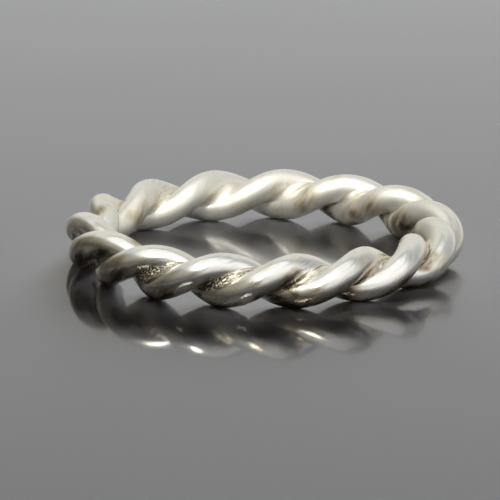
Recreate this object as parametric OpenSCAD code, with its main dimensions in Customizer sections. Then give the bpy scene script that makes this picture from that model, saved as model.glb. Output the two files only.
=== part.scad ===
// Rope twist ring: two round silver wires twisted together in a left-hand lay, bent round to a
// finger ring and soldered end to end. It lies on its side, as it rests on a table.
// +Z is up and the front faces -Y. The origin is on the table, in the middle of the finger hole.
// Places round the ring are degrees from the front, growing to the right and on round the back.

/* [Finger size] */
// Inside diameter, between the innermost points of the wires (US size 7)
finger_d = 17.3; // [14:0.1:22]

/* [Wires] */
// Diameter of each round wire (14 gauge)
wire_d = 1.63; // [1:0.01:2.4]
// Depth of the flat that twisting presses into each wire, where it bears on the other
flat_depth = 0.09; // [0:0.01:0.2]

/* [Twist] */
// Lobes round the ring. Each is half a turn of the pair, and an odd count joins the wires end to end
lobes = 15; // [9:1:25]
// Angle of the first wire round the middle of the rope at the front: 0 is outwards and 90 is up
lay_front = 23; // [-180:1:180]

/* [Hand work] */
// Most that the twist runs ahead of an even one, or behind it, once round the ring
drift = 16; // [0:1:30]
// Place where that drift starts to run ahead
drift_at = 36; // [-180:1:180]
// Most that the twist runs ahead or behind twice round the ring
waver = 8; // [0:1:15]
// Place where that waver starts to run ahead
waver_at = -48; // [-180:1:180]
// How much the ring's radius grows at its widest, and shrinks at its narrowest
out_of_round = 0.13; // [0:0.01:0.4]
// Place of its widest radius
out_of_round_at = 106; // [0:1:180]

/* [Soldered seam] */
// Place of the seam, on the palm side
seam_at = 172; // [90:1:270]
// Hairline between the two wires, and between their ends at the seam
hairline = 0.04; // [0.03:0.01:0.08]

/* [Smoothness] */
// Flat sides round each wire
wire_sides = 16; // [12:2:20]
// Sections along each lobe
lobe_sections = 10; // [8:1:14]

/* [Hidden] */

wire_r = wire_d / 2;
// The helix that each wire's middle follows round the middle of the rope
lay_r = wire_r - flat_depth + hairline / 2;
rope_r = lay_r + wire_r;
band_r = finger_d / 2 + rope_r;
sections = lobes * lobe_sections;
half_turn = 180;
full_turn = 360;

// Angle of a wire round the middle of the rope, at a place round the ring
function lay(at) = lay_front + at * lobes / 2 + drift * sin(at - drift_at) + waver * sin(2 * (at - waver_at));

// Turns of the twist for each turn round the ring, at that place
function lay_rate(at) = lay(at + 0.5) - lay(at - 0.5);

// Radius of the ring at the middle of the rope
function rope_centre(at) = band_r + out_of_round * cos(2 * (at - out_of_round_at));

// Outline of a wire where the plane across the rope cuts it at a slant. The first number runs from
// the middle of the rope towards the wire, which is flat on the side where it meets the other one.
function wire_outline(slope) =
    let (
        lean = atan(slope),
        slant = wire_r / lay_r * sin(lean) * tan(lean) * half_turn / PI
    )
    [for (side = [0:wire_sides - 1])
        let (
            round = full_turn * side / wire_sides,
            turn = -slant * sin(round),
            out = lay_r - wire_r * cos(round),
            across = -wire_r * cos(lean) * sin(round)
        )
        [max(out * cos(turn) - across * sin(turn), hairline / 2), out * sin(turn) + across * cos(turn)]];

// Points of one section of a wire, standing in the plane across the rope
function wire_section(at, angle) =
    let (
        centre = rope_centre(at),
        slope = lay_r * lay_rate(at) / (centre + lay_r * cos(angle))
    )
    [for (p = wire_outline(slope))
        let (
            radius = centre + p[0] * cos(angle) - p[1] * sin(angle),
            height = rope_r + p[0] * sin(angle) + p[1] * cos(angle)
        )
        [radius * sin(at), -radius * cos(at), height]];

// Whether an edge of the outline lies on the flat. Squares of the wall that touch the flat are split
// on their other diagonal, which keeps the two twisted flats clear of each other.
function on_flat(side) = cos(full_turn * side / wire_sides) >= 1 - flat_depth / wire_r;

// One wire, once round the ring from the seam back to the seam
module wire(angle) {
    end_gap = hairline / 2 / band_r * half_turn / PI;
    lap = full_turn - 2 * end_gap;
    places = [for (section = [0:sections]) seam_at + end_gap + lap * section / sections];
    points = [for (at = places) each wire_section(at, lay(at) + angle)];
    start_face = [for (side = [wire_sides - 1:-1:0]) side];
    end_face = [for (side = [0:wire_sides - 1]) sections * wire_sides + side];
    wall = [
        for (section = [0:sections - 1], side = [0:wire_sides - 1])
            let (
                a = section * wire_sides + side,
                b = section * wire_sides + (side + 1) % wire_sides,
                c = a + wire_sides,
                d = b + wire_sides,
                bears = on_flat(side) || on_flat(side + 1)
            )
            each bears ? [[a, b, d], [a, d, c]] : [[a, b, c], [b, d, c]]
    ];
    polyhedron(points, concat([start_face, end_face], wall), convexity = 10);
}

module first_wire() {
    color("silver") wire(0);
}

module second_wire() {
    color("gainsboro") wire(half_turn);
}

first_wire();
second_wire();
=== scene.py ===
# %% [markdown]
# # A rope twist ring in silver
#
# The real ring is two lengths of round silver wire, twisted together like a rope, bent round a
# mandrel and soldered end to end. Solder has run along the grooves, and years on a finger have
# polished the crowns, scratched them along the wire and left the grooves dull and brown.
#
# The imported CAD model fixes where everything lies. It is loaded first.

# %% Load the frame
import math

import bpy
from mathutils import Matrix, Vector, noise


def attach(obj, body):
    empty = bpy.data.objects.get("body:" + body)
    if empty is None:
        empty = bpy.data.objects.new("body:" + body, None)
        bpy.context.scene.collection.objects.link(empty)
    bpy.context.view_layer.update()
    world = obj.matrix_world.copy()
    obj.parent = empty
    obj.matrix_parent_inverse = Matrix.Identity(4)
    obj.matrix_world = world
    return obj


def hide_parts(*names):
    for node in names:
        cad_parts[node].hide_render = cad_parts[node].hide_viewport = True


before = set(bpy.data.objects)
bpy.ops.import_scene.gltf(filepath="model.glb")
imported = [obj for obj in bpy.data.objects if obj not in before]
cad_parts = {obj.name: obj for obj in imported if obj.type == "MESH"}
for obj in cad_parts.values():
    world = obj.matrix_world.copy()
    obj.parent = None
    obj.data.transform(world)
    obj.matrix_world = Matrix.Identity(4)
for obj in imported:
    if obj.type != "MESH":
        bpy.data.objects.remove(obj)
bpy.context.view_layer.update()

# %% [markdown]
# ## The camera
#
# The photo was taken through a long lens, about 15 degrees above the table, with the ring lying on
# its side. The camera could be placed by eye. Here its distance, height and field of view were
# fitted to the ring's outline in the photo, which makes every lobe fall where the photo has it.
# The camera leans a third of a degree to one side, as a hand-held one does.

# %% Place the camera
MM = 0.001
PHOTO_WIDTH = 500
FOCAL_PIXELS = 3760.6
SENSOR = 36.0
CAMERA_DISTANCE = 223.3 * MM
CAMERA_ELEVATION = 15.12
CAMERA_LEAN = 0.335
AIM = Vector((-0.834 * MM, 0, 0.684 * MM))

tilt = math.radians(90 - CAMERA_ELEVATION)
turn = Matrix.Rotation(tilt, 4, "X") @ Matrix.Rotation(math.radians(CAMERA_LEAN), 4, "Z")
bpy.ops.object.camera_add(rotation=turn.to_euler())
camera = bpy.context.object
camera.name = "photo_camera"
camera.location = AIM + turn @ Vector((0, 0, CAMERA_DISTANCE))
camera.data.sensor_width = SENSOR
camera.data.lens = FOCAL_PIXELS / PHOTO_WIDTH * SENSOR
camera.data.clip_start = 10 * MM
camera.data.clip_end = 10
camera.data.dof.use_dof = False
bpy.context.scene.camera = camera
print("Lens in mm:", round(camera.data.lens, 1))

# %% [markdown]
# ## The twist
#
# A rope of two wires is a rule, not a drawing. At each place round the ring the pair has turned by
# a certain angle, and each wire sits half the rope away from its middle, in the direction of that
# angle. The twist was made by hand, so it runs a little ahead in places and lags in others, and the
# ring isn't quite round. These sizes are the ones that the CAD model is built from.

# %% The sizes of the twist
FINGER_D = 17.3 * MM
WIRE_R = 1.63 / 2 * MM
FLAT_DEPTH = 0.09 * MM
HAIRLINE = 0.04 * MM
LOBES = 15
LAY_FRONT = 23
DRIFT = 16
DRIFT_AT = 36
WAVER = 8
WAVER_AT = -48
OUT_OF_ROUND = 0.13 * MM
OUT_OF_ROUND_AT = 106
SEAM_AT = 172

LAY_R = WIRE_R - FLAT_DEPTH + HAIRLINE / 2
ROPE_R = LAY_R + WIRE_R
BAND_R = FINGER_D / 2 + ROPE_R


def sin_deg(angle):
    return math.sin(math.radians(angle))


def cos_deg(angle):
    return math.cos(math.radians(angle))


def lay(at):
    """Angle of the first wire round the middle of the rope, at a place round the ring."""
    even = LAY_FRONT + at * LOBES / 2
    return even + DRIFT * sin_deg(at - DRIFT_AT) + WAVER * sin_deg(2 * (at - WAVER_AT))


def rope_centre(at):
    """Radius of the ring at the middle of the rope."""
    return BAND_R + OUT_OF_ROUND * cos_deg(2 * (at - OUT_OF_ROUND_AT))


# %% [markdown]
# ## The plane across the rope
#
# A wire of the rope leans against its own middle line, so a plane across the rope cuts it at a
# slant. The cut is longer than it is thick, and it curls round the rope. One way to get it is to
# sweep a circle along a helix. Here a straight wire is wound instead, point by point, because
# everything that was modelled on the straight wire, such as a dent, then goes with it.

# %% A section of the rope
class Section:
    """The plane across the rope at one place, seen from a wire at one angle round the rope."""

    def __init__(self, at, angle):
        self.at_sin, self.at_cos = sin_deg(at), cos_deg(at)
        self.angle_sin, self.angle_cos = sin_deg(angle), cos_deg(angle)
        self.centre = rope_centre(at)
        rate = lay(at + 0.5) - lay(at - 0.5)
        lean = math.atan(LAY_R * rate / (self.centre + LAY_R * self.angle_cos))
        self.narrow = math.cos(lean)
        self.curl = math.sin(lean) * math.tan(lean) / LAY_R

    def slanted(self, out, across):
        """Where a point of the straight wire's own section meets this plane."""
        curl = self.curl * across
        across *= self.narrow
        return (
            out * math.cos(curl) - across * math.sin(curl),
            out * math.sin(curl) + across * math.cos(curl),
        )

    def on_ring(self, out, across):
        """The point of the ring that lies so far out from the rope's middle, and so far across."""
        radius = self.centre + out * self.angle_cos - across * self.angle_sin
        height = ROPE_R + out * self.angle_sin + across * self.angle_cos
        return Vector((radius * self.at_sin, -radius * self.at_cos, height))


print("A wire's cut at the front is", round(1 / Section(0, lay(0)).narrow, 3), "times as long as thick")

# %% [markdown]
# ## A straight wire
#
# Drawn silver wire is round and even. A cylinder would give its shape, but has no sections along
# its length where it can bend. So a circle is extruded by one short length, and an Array modifier
# repeats that length and merges the circles where two lengths meet.

# %% Model the straight wire
WIRE_SIDES = 64
WIRE_SECTIONS = 1200
WIRE_LENGTH = 2 * math.pi * BAND_R
STEP = WIRE_LENGTH / WIRE_SECTIONS


def select_only(piece):
    """Selects one object alone, and makes it the one that operators work on."""
    bpy.ops.object.select_all(action="DESELECT")
    piece.select_set(True)
    bpy.context.view_layer.objects.active = piece


def apply_modifier(piece, kind, **settings):
    """Adds a modifier with these settings, and applies it."""
    modifier = piece.modifiers.new(kind.lower(), kind)
    for name, value in settings.items():
        setattr(modifier, name, value)
    select_only(piece)
    bpy.ops.object.modifier_apply(modifier=modifier.name)


bpy.ops.object.select_all(action="DESELECT")
bpy.ops.mesh.primitive_circle_add(vertices=WIRE_SIDES, radius=WIRE_R, location=(0, 0, 0))
straight_wire = bpy.context.object
straight_wire.name = "straight_wire"
bpy.ops.object.mode_set(mode="EDIT")
bpy.ops.mesh.select_all(action="SELECT")
bpy.ops.mesh.extrude_region_move(TRANSFORM_OT_translate={"value": (0, 0, STEP)})
bpy.ops.object.mode_set(mode="OBJECT")
apply_modifier(
    straight_wire,
    "ARRAY",
    count=WIRE_SECTIONS,
    use_relative_offset=False,
    use_constant_offset=True,
    constant_offset_displace=(0, 0, STEP),
    use_merge_vertices=True,
    merge_threshold=STEP / 10,
)
print("Straight wire:", len(straight_wire.data.vertices), "points,", round(WIRE_LENGTH / MM, 1), "mm")

# %% [markdown]
# ## Waves in the wire
#
# The twisting pliers and years of wear leave the wire slightly uneven, which shows as a waver in its
# highlights. It could be sculpted. Displace modifiers are quicker, and press shallow waves of up to
# two hundredths of a millimetre all along it. The ends stay round, so that they meet at the seam.

# %% Press the waves
ROUND_END = 1.5 * MM
# How long each kind of wave is, and how deep
WAVES = [(2.2 * MM, 0.03 * MM), (0.8 * MM, 0.014 * MM)]


def press_waves(piece, length, depth):
    """Presses shallow waves of this length and depth into a piece, except at its ends."""
    waves = bpy.data.textures.new("waves", "CLOUDS")
    waves.noise_scale = length
    waves.noise_depth = 0
    apply_modifier(
        piece, "DISPLACE", texture=waves, strength=depth, mid_level=0.5, vertex_group="uneven"
    )


uneven = straight_wire.vertex_groups.new(name="uneven")
for point in straight_wire.data.vertices:
    from_end = min(point.co.z, WIRE_LENGTH - point.co.z)
    uneven.add([point.index], min(1.0, from_end / ROUND_END), "REPLACE")
for length, depth in WAVES:
    press_waves(straight_wire, length, depth)
thickness = [2 * math.hypot(point.co.x, point.co.y) / MM for point in straight_wire.data.vertices]
print("Wire thickness in mm:", round(min(thickness), 3), "to", round(max(thickness), 3))

# %% [markdown]
# ## The marks of time
#
# Old silver isn't stained evenly. Tarnish stays where nothing rubs it: in the grooves, and in a few
# clouds on the wires. Shade is painted as well, on the low side and on the undersides of the wires.
# Knocks have scuffed the crowns, and overheated solder is pitted. One noise over the whole ring would
# put these marks just anywhere, so the larger ones are charted, each as a soft spot on the rope. Its
# place is in degrees round the ring, and then in degrees round the rope, where 0 faces outwards, 90 up
# and 180 the finger.

# %% Chart the marks of time
# Clouds of tarnish, and spots of painted shade: degrees round the ring and round the rope, half length,
# half width and strength. The spots that lie low on the rope, well below its middle, are painted shade
# on the undersides. One of negative strength takes tarnish and painted shade away, and low on the rope
# it is a painted lighter reflection.
TARNISH_AND_SHADE_SPOTS = [
    (-173, -160, 9, 45, 0.20),
    (-165, -10, 11, 50, 0.45),
    (-128, 20, 10, 50, 0.50),
    (-120, 175, 10, 50, 0.45),
    (-99, 106, 5, 26, 0.60),
    (-88, 0, 10, 60, 0.45),
    (-82, 37, 6, 25, 0.70),
    (-77, -89, 8, 35, 0.80),
    (-68, 0, 9, 70, 0.55),
    (-57, 30, 9, 50, 0.75),
    (-53, 132, 6, 30, 0.70),
    (-49, 0, 10, 65, 0.60),
    (-41, -60, 6, 32, 0.80),
    (-37, 25, 7, 40, 0.45),
    (-32, -25, 10, 50, 0.35),
    (-22, -98, 7, 28, 0.70),
    (-21, -72, 6, 32, 0.90),
    (-15, 25, 8, 40, 0.20),
    (-14, -35, 9, 50, 0.30),
    (-10, 43, 4, 18, 0.30),
    (-7, -32, 5, 16, -0.50),
    (-2, 9, 3.5, 18, 0.50),
    (2, -85, 6, 32, 0.90),
    (4, -60, 9, 45, 0.85),
    (7.5, 8, 4.5, 42, 0.90),
    (8, -27, 4, 20, 0.80),
    (10, 42, 3, 14, 0.50),
    (11, -42, 4, 16, -0.60),
    (14, 50, 3, 18, -0.80),
    (15, -40, 8, 35, 0.50),
    (15.5, -8, 3, 14, 0.60),
    (25, -50, 8, 55, 0.85),
    (26, -106, 6, 25, 0.70),
    (26, -89, 5, 30, 0.80),
    (33, 30, 8, 45, 0.45),
    (36, -60, 8, 45, 0.35),
    (44, -20, 6, 28, 0.65),
    (54, 120, 5, 25, 0.60),
    (55, -48, 5, 32, -0.90),
    (55, -27, 3, 16, 0.50),
    (56, -10, 4, 22, 0.65),
    (58, -10, 4.5, 28, 0.60),
    (60, 10, 6, 50, 0.65),
    (84, 20, 8, 60, 0.35),
    (88, 165, 6, 30, 0.65),
    (112, -175, 11, 52, 0.75),
    (115, -127, 6, 28, 0.60),
    (117, -165, 5, 28, 0.60),
    (126, -145, 6, 28, 0.65),
    (133, -108, 6, 30, 0.60),
    (133, 172, 8, 50, 0.45),
    (140, 10, 12, 50, 0.45),
    (141, -160, 5, 24, 0.60),
    (142, -122, 6, 28, 0.75),
    (156, -105, 7, 36, 0.80),
    (162, 164, 6, 34, 0.45),
    (165, -168, 5, 30, 0.40),
]
# Scuffs, charted in the same way
SCUFFED = [
    (-140, 90, 10, 30, 0.6),
    (-75, 50, 6, 30, 0.5),
    (-42, 45, 5, 20, 0.6),
    (-21, 40, 5, 16, 0.5),
    (-12, 76, 5, 18, 0.9),
    (13, 72, 6, 18, 0.9),
    (28, 50, 4, 16, 1.0),
    (47, 36, 4, 22, 0.9),
    (95, 40, 8, 30, 0.5),
    (140, 100, 10, 30, 0.6),
]
# Solder: degrees round the ring, which groove, half its length, how full the groove is, how pitted.
# A groove with no charted run holds a trace of it.
SOLDERED = [
    (-164, 0, 12, 1.4, 0.05),
    (-138, 1, 12, 1.3, 0.1),
    (-110, 1, 12, 0.6, 0.8),
    (-59, 1, 8, 0.3, 0.3),
    (-38, 0, 8, 1.4, 1.0),
    (-29, 0, 10, 1.2, 0.25),
    (-16, 1, 7, 1.3, 0.75),
    (-6, 1, 10, 1.2, 0.25),
    (7, 0, 6, 0.7, 0.25),
    (17, 0, 9, 1.3, 0.05),
    (33, 1, 9, 1.0, 0.15),
    (43, 1, 8, 1.0, 0.2),
    (61, 0, 9, 0.9, 0.15),
    (70, 0, 7, 0.8, 0.2),
    (86, 1, 7, 0.5, 0.4),
    (143, 1, 11, 1.3, 0.1),
    (150, 0, 8, 0.6, 0.7),
    (169, 0, 12, 1.4, 0.05),
    (169, 1, 12, 1.4, 0.05),
]
SOLDER_TRACE = 0.05


def how_near(turn, half):
    """A soft 1 at no turn, and 0 at half a spot's size or more away."""
    share = abs((turn + 180) % 360 - 180) / half
    return (1 - share * share) ** 2 if share < 1 else 0.0


def marked(spots, at, rise):
    """How strongly a chart of spots marks a place of the rope."""
    clear = 1.0
    for spot_at, spot_rise, half_length, half_width, strength in spots:
        along = how_near(at - spot_at, half_length)
        if along > 0:
            clear *= 1 - strength * along * how_near(rise - spot_rise, half_width)
    return 1 - clear


def solder_at(at, groove_index):
    """How full and how pitted the solder is at a place of one groove."""
    full = pitted = SOLDER_TRACE
    for spot_at, index, half, most_full, most_pitted in SOLDERED:
        if index == groove_index:
            near = how_near(at - spot_at, half) ** 0.5
            full = max(full, most_full * near)
            pitted = max(pitted, most_pitted * near)
    return full, pitted


print("Clouds of tarnish:", len(TARNISH_AND_SHADE_SPOTS), "scuffs:", len(SCUFFED), "runs of solder:", len(SOLDERED))

# %% [markdown]
# ## Notes for the finish
#
# A finish has to know where it is on the ring. It could be painted on a flat picture that is then
# wrapped round the wires. Here each point of a piece keeps notes instead, because they follow from the
# shape and the chart: where it lay on the straight wire, so that polish lines can run along the wire,
# how near it is to the other wire, how tarnished, pitted, scuffed and rubbed it is, and how much
# painted shade it takes.
#
# The wear and the painted shade are noted last. The finger keeps the inside of the ring satin. Shade is
# painted on the low side of the wires, the darker the further the silver faces down, and most of it on
# the side away from the finger.

# %% Note the wear and the painted shade
# How rubbed a point is that faces up or down, and how much more one that faces the finger
TOP_RUBBED = 0.1
FINGER_RUBBED = 1.6
# How strongly painted shade falls on a point that faces up or down, and how much more on one that faces
# outwards
TOP_SHADE_WEIGHT = 0.4
OUTER_SHADE_WEIGHT = 1.5
# Height of the low side, and the share of clean silver that its painted shade takes from any point
# there, and from one weighted towards the outside as well
LOW_SIDE = 0.5 * MM
LOW_PAINTED_SHADE = 0.1
SIDE_PAINTED_SHADE = 0.6
# How far a point faces down where the painted shade of the underside starts, where it is whole, and the
# share of clean silver that it takes
UNDER_FROM = 0.05
UNDER_WHOLE = 0.7
UNDER_PAINTED_SHADE = 0.7


def clamped(value):
    """A value that is kept between 0 and 1."""
    return min(1.0, max(0.0, value))


def add_notes(mesh, *names):
    """Adds a place on the straight wire and these values to each point, and returns their lists."""
    mesh.attributes.new("straight", "FLOAT_VECTOR", "POINT")
    for name in names:
        mesh.attributes.new(name, "FLOAT", "POINT")
    return [mesh.attributes[name].data for name in ("straight", *names)]


def note_wear_and_shade(piece):
    """Notes where the finger rubs a piece, and adds painted shade on its low side and its undersides to
    its stains.
    """
    piece.data.attributes.new("rubbed", "FLOAT", "POINT")
    rubbed, stain_and_shade = (piece.data.attributes[name].data for name in ("rubbed", "stain_and_shade"))
    for point in piece.data.vertices:
        outward = point.normal.xy.dot(point.co.xy.normalized())
        rubbed[point.index].value = clamped(TOP_RUBBED - FINGER_RUBBED * outward)
        # Painted shade: the low side and the undersides are darkened, most on the outer side.
        shade_weight = clamped(TOP_SHADE_WEIGHT + OUTER_SHADE_WEIGHT * outward)
        low = max(0.0, 1 - point.co.z / LOW_SIDE)
        under = clamped((-UNDER_FROM - point.normal.z) / (UNDER_WHOLE - UNDER_FROM))
        clean = 1 - (LOW_PAINTED_SHADE + SIDE_PAINTED_SHADE * shade_weight) * low
        clean *= 1 - UNDER_PAINTED_SHADE * shade_weight * under
        stain_and_shade[point.index].value = 1 - (1 - stain_and_shade[point.index].value) * clean


print("The low side reaches up to", round(LOW_SIDE / MM, 2), "mm")

# %% [markdown]
# ## Winding the two wires
#
# Each wire is a copy of the straight one, closed at both ends and wound once round the ring, from
# the seam back to the seam. Where the two wires bear on each other, twisting has pressed a flat
# into both. A modifier could bend a wire along a curve. Here each point is moved by the rule of the
# rope, which gives the slanted cut, the flat and the uneven twist just as the CAD model has them.

# %% Wind the wires
SEAM_HALF = math.degrees(HAIRLINE / 2 / BAND_R)
SMOOTH_ANGLE = math.radians(50)
# How far from the other wire the tarnish of a groove reaches, and the pits of its solder
GROOVE_REACH = 0.42 * MM
PIT_REACH = 0.8 * MM


def place_of(share):
    """The place round the ring at a share of the wire's length."""
    return SEAM_AT + SEAM_HALF + (360 - 2 * SEAM_HALF) * share


def rise_of(point, centre):
    """Degrees round the rope of a point, where the rope's middle lies at this radius."""
    outward = math.hypot(point.x, point.y) - centre
    return math.degrees(math.atan2(point.z - ROPE_R, outward))


def close_end(piece, height):
    """Closes the straight wire with a face at the end that lies at this height."""
    bpy.ops.object.mode_set(mode="EDIT")
    bpy.ops.mesh.select_all(action="DESELECT")
    bpy.ops.object.mode_set(mode="OBJECT")
    for point in piece.data.vertices:
        point.select = abs(point.co.z - height) < STEP / 4
    for edge in piece.data.edges:
        edge.select = all(piece.data.vertices[index].select for index in edge.vertices)
    bpy.ops.object.mode_set(mode="EDIT")
    bpy.ops.mesh.edge_face_add()
    bpy.ops.object.mode_set(mode="OBJECT")


def face_outwards(piece):
    """Turns the faces of a closed piece outwards, and shades it smooth but for its sharp edges."""
    select_only(piece)
    bpy.ops.object.mode_set(mode="EDIT")
    bpy.ops.mesh.select_all(action="SELECT")
    bpy.ops.mesh.normals_make_consistent(inside=False)
    bpy.ops.object.mode_set(mode="OBJECT")
    bpy.ops.object.shade_smooth_by_angle(angle=SMOOTH_ANGLE)


def wind(name, angle):
    """Winds a copy of the straight wire into the rope, so many degrees round it from the first."""
    wire = straight_wire.copy()
    wire.data = straight_wire.data.copy()
    wire.name = wire.data.name = name
    bpy.context.collection.objects.link(wire)
    select_only(wire)
    for height in (0, WIRE_LENGTH):
        close_end(wire, height)

    places = [place_of(step / WIRE_SECTIONS) for step in range(WIRE_SECTIONS + 1)]
    sections = [Section(at, lay(at) + angle) for at in places]
    rough_grooves = [[solder_at(at, index)[1] for index in (0, 1)] for at in places]
    straight, groove, stain_and_shade, pitted, scuffed = add_notes(
        wire.data, "groove", "stain_and_shade", "pitted", "scuffed"
    )
    for point in wire.data.vertices:
        step = round(point.co.z / STEP)
        section = sections[step]
        straight[point.index].vector = point.co
        gap = math.hypot(2 * LAY_R + point.co.x, point.co.y) - WIRE_R
        groove[point.index].value = max(0.0, 1 - gap / GROOVE_REACH)
        # The second wire is half a turn ahead, so each side of it faces the other groove
        nearest_groove = 0 if (point.co.y > 0) == (angle == 0) else 1
        near_pits = max(0.0, 1 - gap / PIT_REACH)
        pitted[point.index].value = rough_grooves[step][nearest_groove] * near_pits
        out, across = section.slanted(LAY_R + point.co.x, point.co.y)
        point.co = section.on_ring(max(out, HAIRLINE / 2), across)
        rise = rise_of(point.co, section.centre)
        # Charted tarnish, with painted shade on the undersides
        stain_and_shade[point.index].value = marked(TARNISH_AND_SHADE_SPOTS, places[step], rise)
        scuffed[point.index].value = marked(SCUFFED, places[step], rise)

    face_outwards(wire)
    note_wear_and_shade(wire)
    return wire


first_wire = wind("first_silver_wire", 0)
second_wire = wind("second_silver_wire", 180)
bpy.data.objects.remove(straight_wire)
print("Wires:", [len(wire.data.polygons) for wire in (first_wire, second_wire)], "faces each")

# %% [markdown]
# ## Solder in the grooves
#
# Solder has flowed into the two grooves between the wires. It is a thin concave fillet, smooth where
# it flowed well, and wide and grainy where it was overheated. It could be part of the wires, but
# real solder is another alloy with another finish, so it is a piece of its own: a closed strip in
# each groove, whose edges sink into the wires. No operator follows a groove that turns at its own
# pace, so the points of a strip are worked out ring by ring.

# %% Shape the solder
SOLDER_SECTIONS = 1700
SOLDER_STEPS = 20
# Where the edges of a fillet lie, in degrees round each wire from the middle of its flat: in an empty
# groove, how much further in a full one, how far they wander, and how far those of pitted solder tear
EDGE_TURN = 41
EDGE_SPREAD = 27
EDGE_WANDER = 6
EDGE_TORN = 5
# Degrees round the ring for each step of the wandering, and steps of the tearing for each degree
WANDER_LENGTH = 5
TEAR_RATE = 1.3
# How far apart the noises of the two grooves lie, and the noises of wandering and tearing
GROOVES_APART = 7
TEARING_APART = 3
# How deep an edge sinks into its wire, and within how many degrees of the seam the edges even out
EDGE_SUNK = 0.012 * MM
SEAM_EASE = 4
# Size and height of the grains of pitted solder, and how much finer and lower the second ones are
GRAIN_LENGTH = 0.08 * MM
GRAIN_DEPTH = 0.03 * MM
SECOND_FINER = 2.2
SECOND_LOWER = 0.5
GRAINS_APART = 5 * MM
# The note of how high the solder stands: where it is level, and how much more on a grain
LEVEL_CROWN = 0.5
GRAIN_CROWN = 0.8
# How far the root of a strip lies from the rope's middle, and its width beside that of the fillet
ROOT_DEPTH = 0.15 * MM
ROOT_SHARE = 0.3


def on_wire(section, side, turn_from_flat, sunk=0.0):
    """A point of the wire's outline, by its turn from the middle of the flat."""
    radius = WIRE_R - sunk
    out, across = section.slanted(
        LAY_R - radius * cos_deg(turn_from_flat), side * radius * sin_deg(turn_from_flat)
    )
    return Vector((max(out, 0.0), across))


def grain_at(straight):
    """How high the grain of pitted solder stands at a place along the groove."""
    second = noise.noise(SECOND_FINER * straight / GRAIN_LENGTH)
    return noise.noise(straight / GRAIN_LENGTH) + SECOND_LOWER * second


def groove_strip(groove_index):
    """Rings of points of the strip of solder in one groove, each point with its notes."""
    side = 1 if groove_index == 0 else -1
    row = GROOVES_APART * groove_index
    rings = []
    for step in range(SOLDER_SECTIONS + 1):
        at = SEAM_AT + 360 * step / SOLDER_SECTIONS
        section = Section(at, lay(at))
        other = Section(at, lay(at) + 180)
        full, rough = solder_at(at, groove_index)
        free = min(1.0, min(at - SEAM_AT, SEAM_AT + 360 - at) / SEAM_EASE)
        wander = free * EDGE_WANDER * noise.noise(Vector((at / WANDER_LENGTH, row, 0)))
        torn = free * EDGE_TORN * rough * noise.noise(Vector((at * TEAR_RATE, row, TEARING_APART)))
        edge = EDGE_TURN + EDGE_SPREAD * full + wander
        near = on_wire(section, side, edge + torn, EDGE_SUNK)
        far = -on_wire(other, -side, edge - torn, EDGE_SUNK)
        # Depth of the arc that leaves both wires along their surfaces
        sag = (near - far).length / 2 * math.tan(math.radians(90 - edge) / 2)
        ring = []
        for part in range(SOLDER_STEPS + 1):
            share = part / SOLDER_STEPS
            point = near.lerp(far, share)
            # 1 in the middle of the fillet, and 0 at its edges
            dip = 4 * share * (1 - share)
            point.y -= side * sag * dip
            straight = Vector((math.radians(at) * BAND_R, point.x, GRAINS_APART * groove_index))
            grain = grain_at(straight)
            point.y += side * GRAIN_DEPTH * rough * grain * dip**0.5
            crown = LEVEL_CROWN + GRAIN_CROWN * rough * grain
            ring.append((section.on_ring(point.x, point.y), crown, rough, straight))
        for edge_point in (far, near):
            root = section.on_ring(edge_point.x * ROOT_SHARE, side * ROOT_DEPTH)
            ring.append((root, LEVEL_CROWN, rough, straight))
        rings.append(ring)
    return rings


strips = [groove_strip(groove_index) for groove_index in (0, 1)]
print("Rings of points in the grooves:", [len(strip) for strip in strips])

# %% [markdown]
# ## From rings to a closed piece
#
# Two points of one ring and two of the next make a face, and a face at each end closes the tube.
# Bridging the rings one by one would give the same mesh, but slowly, because there are so many of
# them. So the faces are listed, and the mesh is made in one go. Its points get notes like those of
# the wires.

# %% Run the solder
def add_tube(name, rings):
    """A closed tube through rings of points, with a face at each end and the notes of its points."""
    sides = len(rings[0])
    faces = [list(range(sides))[::-1], [(len(rings) - 1) * sides + side for side in range(sides)]]
    for ring in range(len(rings) - 1):
        for side in range(sides):
            a, b = ring * sides + side, ring * sides + (side + 1) % sides
            faces.append([a, b, b + sides, a + sides])
    points = [point for ring in rings for point in ring]
    mesh = bpy.data.meshes.new(name)
    mesh.from_pydata([place for place, crown, rough, straight in points], [], faces)
    straights, crowns, stains_and_shade, pitted = add_notes(mesh, "crown", "stain_and_shade", "pitted")
    for index, (place, crown, rough, straight) in enumerate(points):
        at = math.degrees(math.atan2(place.x, -place.y))
        straights[index].vector = straight
        crowns[index].value = crown
        # Charted tarnish, with painted shade on the undersides
        stains_and_shade[index].value = marked(TARNISH_AND_SHADE_SPOTS, at, rise_of(place, rope_centre(at)))
        pitted[index].value = rough
    piece = bpy.data.objects.new(name, mesh)
    bpy.context.collection.objects.link(piece)
    return piece


runs = [add_tube("solder_run", strip) for strip in strips]
print("Solder in the grooves:", [len(run.data.polygons) for run in runs], "faces each")

# %% [markdown]
# ## The soldered seam
#
# At the seam each wire's end meets the other wire's start, and the joint is filed until it hardly
# shows. It could be left as a hairline gap, but that would look like cut ends. A thin wafer of
# solder fills the gap between each end and start. It stands a few thousandths of a millimetre proud,
# as a filed joint does, and its edges sink into the wires. Wafers and strips are then one piece.

# %% Fill the seam
# Each ring of a wafer: its distance from the seam, and how proud of the wire it stands
WAFER_PROFILE = [
    (-0.06 * MM, -0.006 * MM),
    (-0.03 * MM, 0.002 * MM),
    (0, 0.003 * MM),
    (0.03 * MM, 0.002 * MM),
    (0.06 * MM, -0.006 * MM),
]
WAFER_CROWN = 0.545


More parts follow.
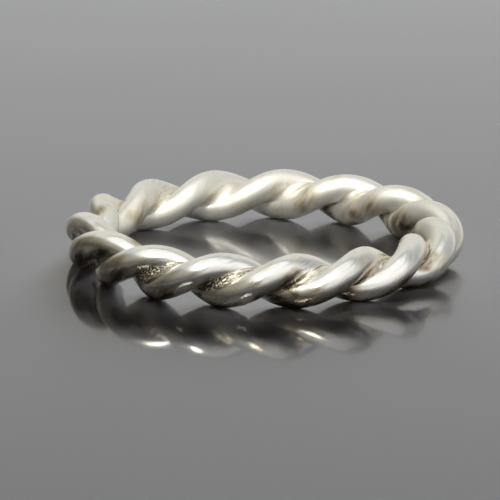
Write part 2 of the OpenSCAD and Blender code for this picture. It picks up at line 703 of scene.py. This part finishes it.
def seam_wafer(angle):
    """Rings of points of the solder that fills the seam between two ends of wire."""
    rings = []
    for along, proud in WAFER_PROFILE:
        at = SEAM_AT + math.degrees(along / BAND_R)
        section = Section(at, lay(at) + angle)
        ring = []
        for step in range(WIRE_SIDES):
            point = on_wire(section, 1, 360 * step / WIRE_SIDES, -proud)
            place = section.on_ring(max(point.x, HAIRLINE / 2), point.y)
            ring.append((place, WAFER_CROWN, 0.0, Vector((along, point.x, point.y))))
        rings.append(ring)
    return rings


runs += [add_tube("solder_run", seam_wafer(angle)) for angle in (0, 180)]
bpy.ops.object.select_all(action="DESELECT")
for run in runs:
    run.select_set(True)
bpy.context.view_layer.objects.active = runs[0]
bpy.ops.object.join()
solder = bpy.context.object
solder.name = solder.data.name = "groove_solder"
face_outwards(solder)
note_wear_and_shade(solder)
print("Solder:", len(solder.data.polygons), "faces")

# %% [markdown]
# ## How a finish is built
#
# A finish is a recipe of shader nodes: noise at a place, one value from several, a colour from a
# value, and bumps over bumps. Pictures of silver could be laid on instead, but nodes stay sharp at
# any distance and can read the notes of the points. These helpers add the nodes, so that each
# finish reads as its recipe.

# %% Helpers for the finishes
def new_material(name):
    """A new material, with its tree of nodes and its one shader."""
    material = bpy.data.materials.new(name)
    material.use_nodes = True
    return material, material.node_tree, material.node_tree.nodes["Principled BSDF"]


def add_node(tree, kind, **settings):
    """Adds a shader node of this kind, and makes these settings on it."""
    node = tree.nodes.new("ShaderNode" + kind)
    for name, value in settings.items():
        setattr(node, name, value)
    return node


def feed(tree, socket, value):
    """Gives an input a fixed value, or links it to the output of another node."""
    if isinstance(value, bpy.types.NodeSocket):
        tree.links.new(value, socket)
    else:
        socket.default_value = value


def note(tree, name, output="Fac"):
    """A note that each point of a piece keeps."""
    return add_node(tree, "Attribute", attribute_name=name).outputs[output]


def noise_on(tree, vector, scale, detail, roughness):
    """Noise on a vector, whose three numbers are first scaled to so many waves for each metre."""
    mapping = add_node(tree, "Mapping")
    feed(tree, mapping.inputs["Scale"], scale)
    feed(tree, mapping.inputs["Vector"], vector)
    pattern = add_node(tree, "TexNoise")
    feed(tree, pattern.inputs["Scale"], 1.0)
    feed(tree, pattern.inputs["Detail"], detail)
    feed(tree, pattern.inputs["Roughness"], roughness)
    feed(tree, pattern.inputs["Vector"], mapping.outputs["Vector"])
    return pattern.outputs["Fac"]


def remap(tree, value, low, high, to_low=0.0, to_high=1.0):
    """A value from one range to another, clamped."""
    node = add_node(tree, "MapRange")
    feed(tree, node.inputs["Value"], value)
    feed(tree, node.inputs["From Min"], low)
    feed(tree, node.inputs["From Max"], high)
    feed(tree, node.inputs["To Min"], to_low)
    feed(tree, node.inputs["To Max"], to_high)
    return node.outputs["Result"]


def combine(tree, operation, *values):
    """One value from several, by one Math node after another."""
    result = values[0]
    for value in values[1:]:
        node = add_node(tree, "Math", operation=operation)
        feed(tree, node.inputs[0], result)
        feed(tree, node.inputs[1], value)
        result = node.outputs["Value"]
    return result


def total(tree, *values):
    """The sum of several values."""
    return combine(tree, "ADD", *values)


def product(tree, *values):
    """Several values multiplied."""
    return combine(tree, "MULTIPLY", *values)


def mix_colours(tree, share, first, second):
    """A colour between two, by a share."""
    node = add_node(tree, "Mix", data_type="RGBA")
    feed(tree, node.inputs["Factor"], share)
    feed(tree, node.inputs[6], first)
    feed(tree, node.inputs[7], second)
    return node.outputs[2]


def colour_on_ramp(tree, share, steps):
    """The colour at a share of a ramp of steps, each a position and a colour."""
    ramp = add_node(tree, "ValToRGB")
    elements = ramp.color_ramp.elements
    while len(elements) < len(steps):
        elements.new(0.5)
    for element, (position, colour) in zip(elements, steps):
        element.position = position
        element.color = (*colour, 1)
    feed(tree, ramp.inputs["Fac"], share)
    return ramp.outputs["Color"]


def bump(tree, height, depth, before=None):
    """A bump of this depth in metres, over another one where it is given."""
    node = add_node(tree, "Bump")
    feed(tree, node.inputs["Strength"], 1.0)
    feed(tree, node.inputs["Distance"], depth)
    feed(tree, node.inputs["Height"], height)
    if before is not None:
        feed(tree, node.inputs["Normal"], before)
    return node.outputs["Normal"]


def dress(piece, material):
    """Gives a piece its one material."""
    piece.data.materials.clear()
    piece.data.materials.append(material)


print("Pieces to dress:", [piece.name for piece in (first_wire, second_wire, solder)])

# %% [markdown]
# ## Worn silver
#
# Polished silver is almost a mirror. Wear leaves it satin, with fine lines and scuffs along the wire,
# and it is the most satin where the finger rubs it. Where nothing rubs it tarnishes, first yellowish,
# then brown, then nearly black. Three materials could lie side by side for this. One does it all from
# the notes of the points, because the marks run into each other: noise breaks up the charted stains and
# the painted shade, a colour ramp holds the colours of tarnish, which also darken the undersides as
# painted shade, and bumps make swells, lines and pits.

# %% Finish the silver
# The colours of tarnish, by how far it has gone; the same colours darken the silver for the painted
# shade of the undersides
WIRE_COLOURS = [
    (0.0, (0.93, 0.92, 0.885)),
    (0.2, (0.86, 0.828, 0.74)),
    (0.45, (0.63, 0.56, 0.435)),
    (0.7, (0.35, 0.295, 0.225)),
    (1.0, (0.085, 0.07, 0.055)),
]
SCUFFED_SILVER = (0.60, 0.62, 0.63, 1)
# Patterns of noise: waves for each metre, twice across the straight wire and once along it, then
# detail and roughness. The pits are the same in every direction.
MOTTLE = ((2600, 2600, 1500), 3, 0.55)
SMUDGES = ((1300, 1300, 800), 2, 0.5)
CLOUDS = ((1000, 1000, 600), 4, 0.5)
POLISH_LINES = ((26000, 26000, 900), 3, 0.6)
SCRATCHES = ((9000, 9000, 380), 2, 0.5)
SCRATCHED_PARTS = ((800, 800, 450), 2, 0.5)
RUBS = ((7000, 7000, 700), 3, 0.6)
SWELLS = ((2500, 2500, 900), 1, 0.5)
PITS = ((9000, 9000, 9000), 2, 0.6)
NOISE_MIDDLE = 0.5
# What a pattern adds to the tarnish or does to it: its range of noise, and the two ends of its effect
MOTTLE_EFFECT = (0.32, 0.68, 0.6, 1.3)
SMUDGE_EFFECT = (0.35, 0.65, -0.3, 0.3)
CLOUD_TARNISH = (0.5, 0.72, 0.0, 0.25)
PIT_TARNISH = (0.6, 0.42, -0.5, 1.3)
LINE_TARNISH = (0.35, 0.65, -0.08, 0.08)
# How far grooves and the finger's satin are tarnished, and how far clean silver shows its lines
GROOVE_TARNISH = 0.5
SATIN_TARNISH = 0.12
LINES_ON_CLEAN = 0.3
# A scratch lies where its noise is near the middle. Scratched parts and rubs have ranges of noise.
THIN_SCRATCH = (0.0, 0.022, 1.0, 0.0)
SCRATCHED_RANGE = (0.5, 0.6)
RUB_RANGE = (0.4, 0.56)
SCRATCH_STRENGTH = 0.7
# How rough the polish is, by the noise of its lines, and what each kind of wear adds
POLISH_ROUGH = (0.35, 0.75, 0.12, 0.24)
TARNISH_ROUGH = 0.18
SCUFF_ROUGH = 0.15
SATIN_ROUGH = 0.36
# How deep the bumps are, and how pitted silver under stains and painted shade and all silver are beside
# pitted solder
SWELL_DEPTH = 0.012 * MM
LINE_DEPTH = 0.0014 * MM
PIT_DEPTH = 0.1 * MM
STAIN_AND_SHADE_PITS = 0.03
LEAST_PITS = 0.015


def wire_tarnish_and_shade(tree, notes, straight, lines, pits):
    """How far the silver of the wires has tarnished, with the painted shade of its undersides."""
    mottle = remap(tree, noise_on(tree, straight, *MOTTLE), *MOTTLE_EFFECT)
    smudges = remap(tree, noise_on(tree, straight, *SMUDGES), *SMUDGE_EFFECT)
    # Charted stains with the painted shade of the undersides, and the tarnish of the grooves
    charted_and_shaded = total(tree, notes["stain_and_shade"], product(tree, notes["groove"], GROOVE_TARNISH))
    tarnish_and_shade = total(
        tree,
        product(tree, charted_and_shaded, total(tree, mottle, smudges)),
        remap(tree, noise_on(tree, straight, *CLOUDS), *CLOUD_TARNISH),
        product(tree, notes["pitted"], remap(tree, pits, *PIT_TARNISH)),
    )
    streaks = remap(tree, lines, *LINE_TARNISH)
    return total(
        tree,
        tarnish_and_shade,
        product(tree, streaks, total(tree, tarnish_and_shade, LINES_ON_CLEAN)),
        product(tree, notes["rubbed"], SATIN_TARNISH),
    )


def wire_scuffs(tree, notes, straight):
    """How scratched the wires are along their length, and how scuffed by knocks."""
    from_middle = combine(tree, "SUBTRACT", noise_on(tree, straight, *SCRATCHES), NOISE_MIDDLE)
    thin = remap(tree, combine(tree, "ABSOLUTE", from_middle, 0), *THIN_SCRATCH)
    parts = remap(tree, noise_on(tree, straight, *SCRATCHED_PARTS), *SCRATCHED_RANGE)
    rubs = remap(tree, noise_on(tree, straight, *RUBS), *RUB_RANGE)
    scratched = product(tree, thin, parts, SCRATCH_STRENGTH)
    return combine(tree, "MAXIMUM", scratched, product(tree, notes["scuffed"], rubs))


def make_worn_silver():
    """The finish of the wires."""
    material, tree, shader = new_material("worn_silver")
    place = add_node(tree, "TexCoord").outputs["Object"]
    straight = note(tree, "straight", "Vector")
    notes = {name: note(tree, name) for name in ("groove", "stain_and_shade", "pitted", "scuffed", "rubbed")}
    lines = noise_on(tree, straight, *POLISH_LINES)
    pits = noise_on(tree, place, *PITS)
    tarnish_and_shade = wire_tarnish_and_shade(tree, notes, straight, lines, pits)
    scuffs = wire_scuffs(tree, notes, straight)
    tarnished_and_shaded = colour_on_ramp(tree, tarnish_and_shade, WIRE_COLOURS)
    rough = total(
        tree,
        remap(tree, lines, *POLISH_ROUGH),
        product(tree, tarnish_and_shade, TARNISH_ROUGH),
        product(tree, scuffs, SCUFF_ROUGH),
        product(tree, notes["rubbed"], SATIN_ROUGH),
    )
    swells = bump(tree, noise_on(tree, straight, *SWELLS), SWELL_DEPTH)
    lined = bump(tree, lines, LINE_DEPTH, swells)
    how_pitted = total(tree, notes["pitted"], product(tree, notes["stain_and_shade"], STAIN_AND_SHADE_PITS), LEAST_PITS)
    feed(tree, shader.inputs["Metallic"], 1.0)
    feed(tree, shader.inputs["Base Color"], mix_colours(tree, scuffs, tarnished_and_shaded, SCUFFED_SILVER))
    feed(tree, shader.inputs["Roughness"], rough)
    feed(tree, shader.inputs["Normal"], bump(tree, product(tree, pits, how_pitted), PIT_DEPTH, lined))
    return material


worn_silver = make_worn_silver()
for wire in (first_wire, second_wire):
    dress(wire, worn_silver)
print("Nodes of the worn silver:", len(worn_silver.node_tree.nodes))

# %% [markdown]
# ## The solder's finish
#
# Where solder flowed well it is smooth and cream, with dark lines where it was scraped along the
# groove. Where it was overheated it is grainy: its grains are bright and the pits between them
# nearly black. It could share the material of the wires, but its tarnish is warmer and follows its
# own height, so it has a recipe of its own.

# %% Finish the solder
# The colours of tarnish, by how far it has gone; the same colours darken the solder for the painted
# shade of the undersides
SOLDER_COLOURS = [
    (0.0, (0.93, 0.915, 0.87)),
    (0.3, (0.76, 0.69, 0.54)),
    (0.6, (0.36, 0.29, 0.195)),
    (1.0, (0.065, 0.052, 0.038)),
]
# Patterns of noise: the grains are the same in every direction, the lines long along the groove
GRAINS = ((16000, 16000, 16000), 3, 0.6)
SCRAPED_LINES = ((700, 9000, 9000), 2, 0.6)
# What a pattern or a note adds to the tarnish: its range, and the two ends of its effect
GRAIN_TARNISH = (0.35, 0.65, 0.45, -0.25)
SCRAPED_TARNISH = (0.38, 0.62, 0.55, -0.35)
CROWN_TARNISH = (0.3, 0.65, 0.85, -0.4)
STAIN_AND_SHADE_TARNISH = 0.8
PITTED_TARNISH = 0.45
# The finger wears the scraped lines away, by how much it rubs
SCRAPED_LEFT = (0.2, 0.8, 1.0, 0.15)
# How rough the solder is by its tarnish, and what pits and the finger add
SOLDER_ROUGH = (0.0, 1.0, 0.17, 0.4)
PITTED_ROUGH = 0.27
SATIN_SOLDER_ROUGH = 0.33
# How deep the bumps are, and how grainy smooth solder is beside pitted solder
SCRAPED_DEPTH = 0.02 * MM
GRAIN_BUMP = 0.03 * MM
LEAST_GRAIN = 0.1


def make_groove_solder():
    """The finish of the solder."""
    material, tree, shader = new_material("groove_solder")
    place = add_node(tree, "TexCoord").outputs["Object"]
    straight = note(tree, "straight", "Vector")
    crown, stain_and_shade, pitted, rubbed = (note(tree, name) for name in ("crown", "stain_and_shade", "pitted", "rubbed"))
    grains = noise_on(tree, place, *GRAINS)
    lines = noise_on(tree, straight, *SCRAPED_LINES)
    smooth = combine(tree, "SUBTRACT", 1.0, pitted)
    scraped = product(tree, smooth, remap(tree, rubbed, *SCRAPED_LEFT))
    tarnish_and_shade = total(
        tree,
        # The stain note holds charted tarnish and the painted shade of the undersides
        product(tree, stain_and_shade, STAIN_AND_SHADE_TARNISH),
        product(tree, remap(tree, grains, *GRAIN_TARNISH), pitted),
        product(tree, remap(tree, lines, *SCRAPED_TARNISH), scraped),
        remap(tree, crown, *CROWN_TARNISH),
        product(tree, pitted, PITTED_TARNISH),
    )
    rough = total(
        tree,
        product(tree, pitted, PITTED_ROUGH),
        remap(tree, tarnish_and_shade, *SOLDER_ROUGH),
        product(tree, rubbed, SATIN_SOLDER_ROUGH),
    )
    scratched = bump(tree, product(tree, lines, scraped), SCRAPED_DEPTH)
    grainy = product(tree, grains, total(tree, pitted, LEAST_GRAIN))
    feed(tree, shader.inputs["Metallic"], 1.0)
    feed(tree, shader.inputs["Base Color"], colour_on_ramp(tree, tarnish_and_shade, SOLDER_COLOURS))
    feed(tree, shader.inputs["Roughness"], rough)
    feed(tree, shader.inputs["Normal"], bump(tree, grainy, GRAIN_BUMP, scratched))
    return material


dress(solder, make_groove_solder())
print("Materials:", [material.name for material in bpy.data.materials if material.users])

# %% [markdown]
# ## The floor
#
# The ring lies on a plain pale table top with a soft gloss, so that it shows a faint image of the
# ring. A whole table could be modelled. One wide plane is enough, because no edge of it shows.

# %% Lay the floor
FLOOR_HALF = 700 * MM
PALE_GREY = (0.525, 0.54, 0.62, 1)
FLOOR_ROUGHNESS = 0.06
FLOOR_IOR = 1.44

bpy.ops.object.select_all(action="DESELECT")
bpy.ops.mesh.primitive_plane_add(size=2 * FLOOR_HALF, location=(0, 0, 0))
floor = bpy.context.object
floor.name = "pale_floor"
floor_material, floor_tree, floor_shader = new_material("pale_floor")
feed(floor_tree, floor_shader.inputs["Base Color"], PALE_GREY)
feed(floor_tree, floor_shader.inputs["Roughness"], FLOOR_ROUGHNESS)
feed(floor_tree, floor_shader.inputs["IOR"], FLOOR_IOR)
dress(floor, floor_material)
print("Floor in m:", round(2 * FLOOR_HALF, 2), "square")

# %% [markdown]
# ## The room that the silver mirrors
#
# Silver looks like what is around it. In the photo that is a soft room: a white ceiling light in a
# darker frame, a little to the front, with a small bright lamp below it, a white window at the
# front right, a pale wall behind, a greyer one on the right, and a dim, warm corner on the left
# with soft glows above it. Lamps could stand for each of them. Here they are soft round patches
# painted on the dome of the world, one over the other, because their edges have to be as soft as
# the real ones.

# %% Paint the room
DIM_CORNER = (0.065, 0.057, 0.045)
# Each patch: where its middle is round the ring, how high, its half width, how soft, and its light
ROOM_PATCHES = {
    "glow behind on the left": (-135, 15, 25, 14, (0.20, 0.185, 0.155)),
    "glow high on the left": (-35, 58, 46, 24, (0.38, 0.36, 0.32)),
    "wall behind": (150, 45, 60, 13, (0.72, 0.71, 0.66)),
    "greyer wall on the right": (97, 25, 33, 16, (0.48, 0.48, 0.47)),
    "light below the window": (41, 8, 42, 14, (0.77, 0.76, 0.74)),
    "window": (42, 42, 22, 16, (1.05, 1.04, 1.03)),
    "bright spot high on the left": (-115, 62, 16, 9, (0.78, 0.77, 0.73)),
    "frame of the ceiling light": (-8, 79, 36.5, 3, (0.34, 0.34, 0.33)),
    "ceiling light": (-10, 72, 35, 8, (1.05, 1.06, 1.05)),
    "small bright lamp": (-15, 46, 7, 2, (40, 40, 38)),
}


def direction(azimuth, elevation):
    """A unit vector. Azimuth 0 is in front, 90 is on the right and 180 is behind."""
    level = cos_deg(elevation)
    return Vector((level * sin_deg(azimuth), -level * cos_deg(azimuth), sin_deg(elevation)))


world = bpy.data.worlds.new("soft_room")
bpy.context.scene.world = world
world.use_nodes = True
room = world.node_tree
looking = add_node(room, "TexCoord").outputs["Generated"]
light = (*DIM_CORNER, 1)
for patch, (azimuth, elevation, half_width, softness, colour) in ROOM_PATCHES.items():
    towards = add_node(room, "VectorMath", label=patch, operation="DOT_PRODUCT")
    feed(room, towards.inputs[0], looking)
    feed(room, towards.inputs[1], direction(azimuth, elevation))
    edge = add_node(room, "MapRange", interpolation_type="SMOOTHSTEP")
    feed(room, edge.inputs["From Min"], cos_deg(half_width + softness))
    feed(room, edge.inputs["From Max"], cos_deg(half_width - softness))
    feed(room, edge.inputs["Value"], towards.outputs["Value"])
    light = mix_colours(room, edge.outputs["Result"], light, (*colour, 1))
feed(room, room.nodes["Background"].inputs["Color"], light)
world.cycles_visibility.diffuse = False
print("Patches of light in the room:", len(ROOM_PATCHES))

# %% [markdown]
# ## The lamp
#
# The dome is only mirrored. What lights the floor is one large lamp, low behind the ring, so that
# the ring's soft shadow falls towards the camera and the undersides of the wires are dark, as they
# are in the photo. A small lamp could do it, but its shadow would be too sharp. The silver doesn't
# mirror the lamp itself. The Standard view shows all colours as they are.

# %% Hang the lamp
LAMP_AROUND = 170
LAMP_UP = 17
LAMP_DISTANCE = 500 * MM
LAMP_SIZE = 220 * MM
LAMP_POWER = 2.1

away = direction(LAMP_AROUND, LAMP_UP)
facing = away.to_track_quat("Z", "Y").to_euler()
bpy.ops.object.light_add(type="AREA", location=away * LAMP_DISTANCE, rotation=facing)
lamp = bpy.context.object
lamp.name = "back_lamp"
lamp.data.size = LAMP_SIZE
lamp.data.energy = LAMP_POWER
lamp.visible_glossy = False
lamp.visible_camera = False
bpy.context.scene.view_settings.view_transform = "Standard"
print("Lamp in mm:", [round(place / MM) for place in lamp.location])

# %% [markdown]
# ## Putting it together
#
# The ring has no joint, so every piece rides on the one body. Each wire stands for its CAD node.

# %% Ride, replace and finish
for wire, node in ((first_wire, "first_wire"), (second_wire, "second_wire")):
    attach(wire, "root")
    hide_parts(node)
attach(solder, "root")
